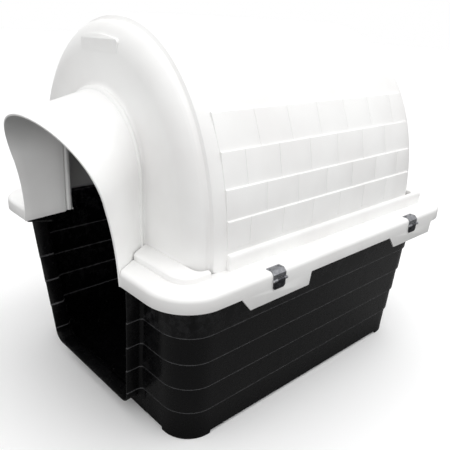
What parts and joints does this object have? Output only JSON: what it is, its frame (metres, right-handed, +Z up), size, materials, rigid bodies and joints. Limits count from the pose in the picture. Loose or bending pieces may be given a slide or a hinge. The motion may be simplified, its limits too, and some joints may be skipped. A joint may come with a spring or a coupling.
{
  "type": "calf hutch",
  "caption": "Moulded plastic animal house: stepped black tub with a doorway, a vaulted white lift-off roof with a hooded entrance, and steel toggle latches.",
  "frame": {"origin": "middle of the whole footprint, hood included, on the plane the feet stand on", "axes": "+Z up, the doorway faces -Y, +X is to the right for a viewer who faces the doorway"},
  "size_m": [0.7566, 0.965, 0.804],
  "materials": {
    "black_moulding": "satin moulded polypropylene",
    "white_moulding": "satin moulded polypropylene",
    "steel": "dark plated pressed sheet"
  },
  "bodies": {
    "tub": {"base_tub": "black_moulding"},
    "roof": {"roof_shell": "white_moulding", "latch_strap_front_right": "steel", "latch_rivets_front_right": "steel", "latch_pin_front_right": "steel", "latch_strap_rear_right": "steel", "latch_rivets_rear_right": "steel", "latch_pin_rear_right": "steel", "latch_strap_front_left": "steel", "latch_rivets_front_left": "steel", "latch_pin_front_left": "steel", "latch_strap_rear_left": "steel", "latch_rivets_rear_left": "steel", "latch_pin_rear_left": "steel"},
    "lever_front_right": {"latch_lever_front_right": "steel"},
    "lever_rear_right": {"latch_lever_rear_right": "steel"},
    "lever_front_left": {"latch_lever_front_left": "steel"},
    "lever_rear_left": {"latch_lever_rear_left": "steel"}
  },
  "joints": [
    {"name": "roof_lift", "type": "slide", "parent": "tub", "child": "roof", "axis": [0, 0, 1], "range_m": [0, 0.3]},
    {"name": "lever_front_right_swing", "type": "hinge", "parent": "roof", "child": "lever_front_right", "pos_m": [0.3753, -0.1845, 0.362], "axis": [0, -1, 0], "range_deg": [0, 110]},
    {"name": "lever_rear_right_swing", "type": "hinge", "parent": "roof", "child": "lever_rear_right", "pos_m": [0.3753, 0.2895, 0.362], "axis": [0, -1, 0], "range_deg": [0, 110]},
    {"name": "lever_front_left_swing", "type": "hinge", "parent": "roof", "child": "lever_front_left", "pos_m": [-0.3753, -0.1845, 0.362], "axis": [0, 1, 0], "range_deg": [0, 110]},
    {"name": "lever_rear_left_swing", "type": "hinge", "parent": "roof", "child": "lever_rear_left", "pos_m": [-0.3753, 0.2895, 0.362], "axis": [0, 1, 0], "range_deg": [0, 110]}
  ]
}
